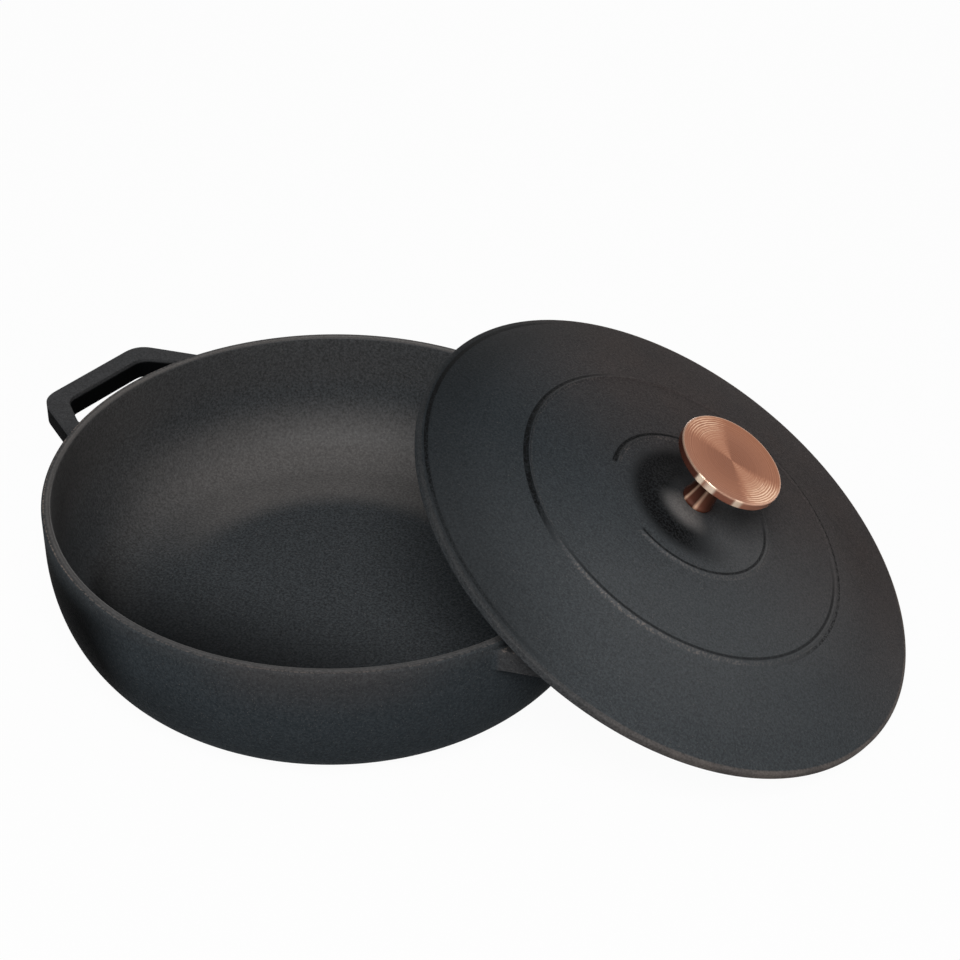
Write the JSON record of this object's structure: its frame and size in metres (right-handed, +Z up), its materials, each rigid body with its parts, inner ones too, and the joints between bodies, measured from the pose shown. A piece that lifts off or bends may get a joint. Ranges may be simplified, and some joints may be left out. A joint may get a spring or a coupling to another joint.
{
  "type": "lidded casserole pot",
  "caption": "Shallow round cast-iron casserole with loop handles; its domed lid, with a copper-coloured knob, leans beside it over one handle.",
  "frame": {"origin": "middle of the pot's flat base, on the table", "axes": "+Z up, along the pot's axis; +X through the handle that the lid leans over"},
  "size_m": [0.4426, 0.3641, 0.1301],
  "materials": {
    "pot_iron": "matte black, fine cast grain",
    "lid_iron": "matte black, fine cast grain",
    "knob_copper": "copper-coloured, turned and polished",
    "screw_steel": "plain steel",
    "washer_steel": "plain steel",
    "lock_washer_steel": "spring steel"
  },
  "bodies": {
    "pot": {"pot_body": "pot_iron"},
    "lid_assembly": {"lid": "lid_iron", "knob": "knob_copper", "knob_screw": "screw_steel", "flat_washer": "washer_steel", "lock_washer": "lock_washer_steel"}
  },
  "joints": [
    {"name": "lid_lift", "type": "slide", "parent": "pot", "child": "lid_assembly", "axis": [0, 0, 1], "range_m": [0, 0.14]}
  ]
}
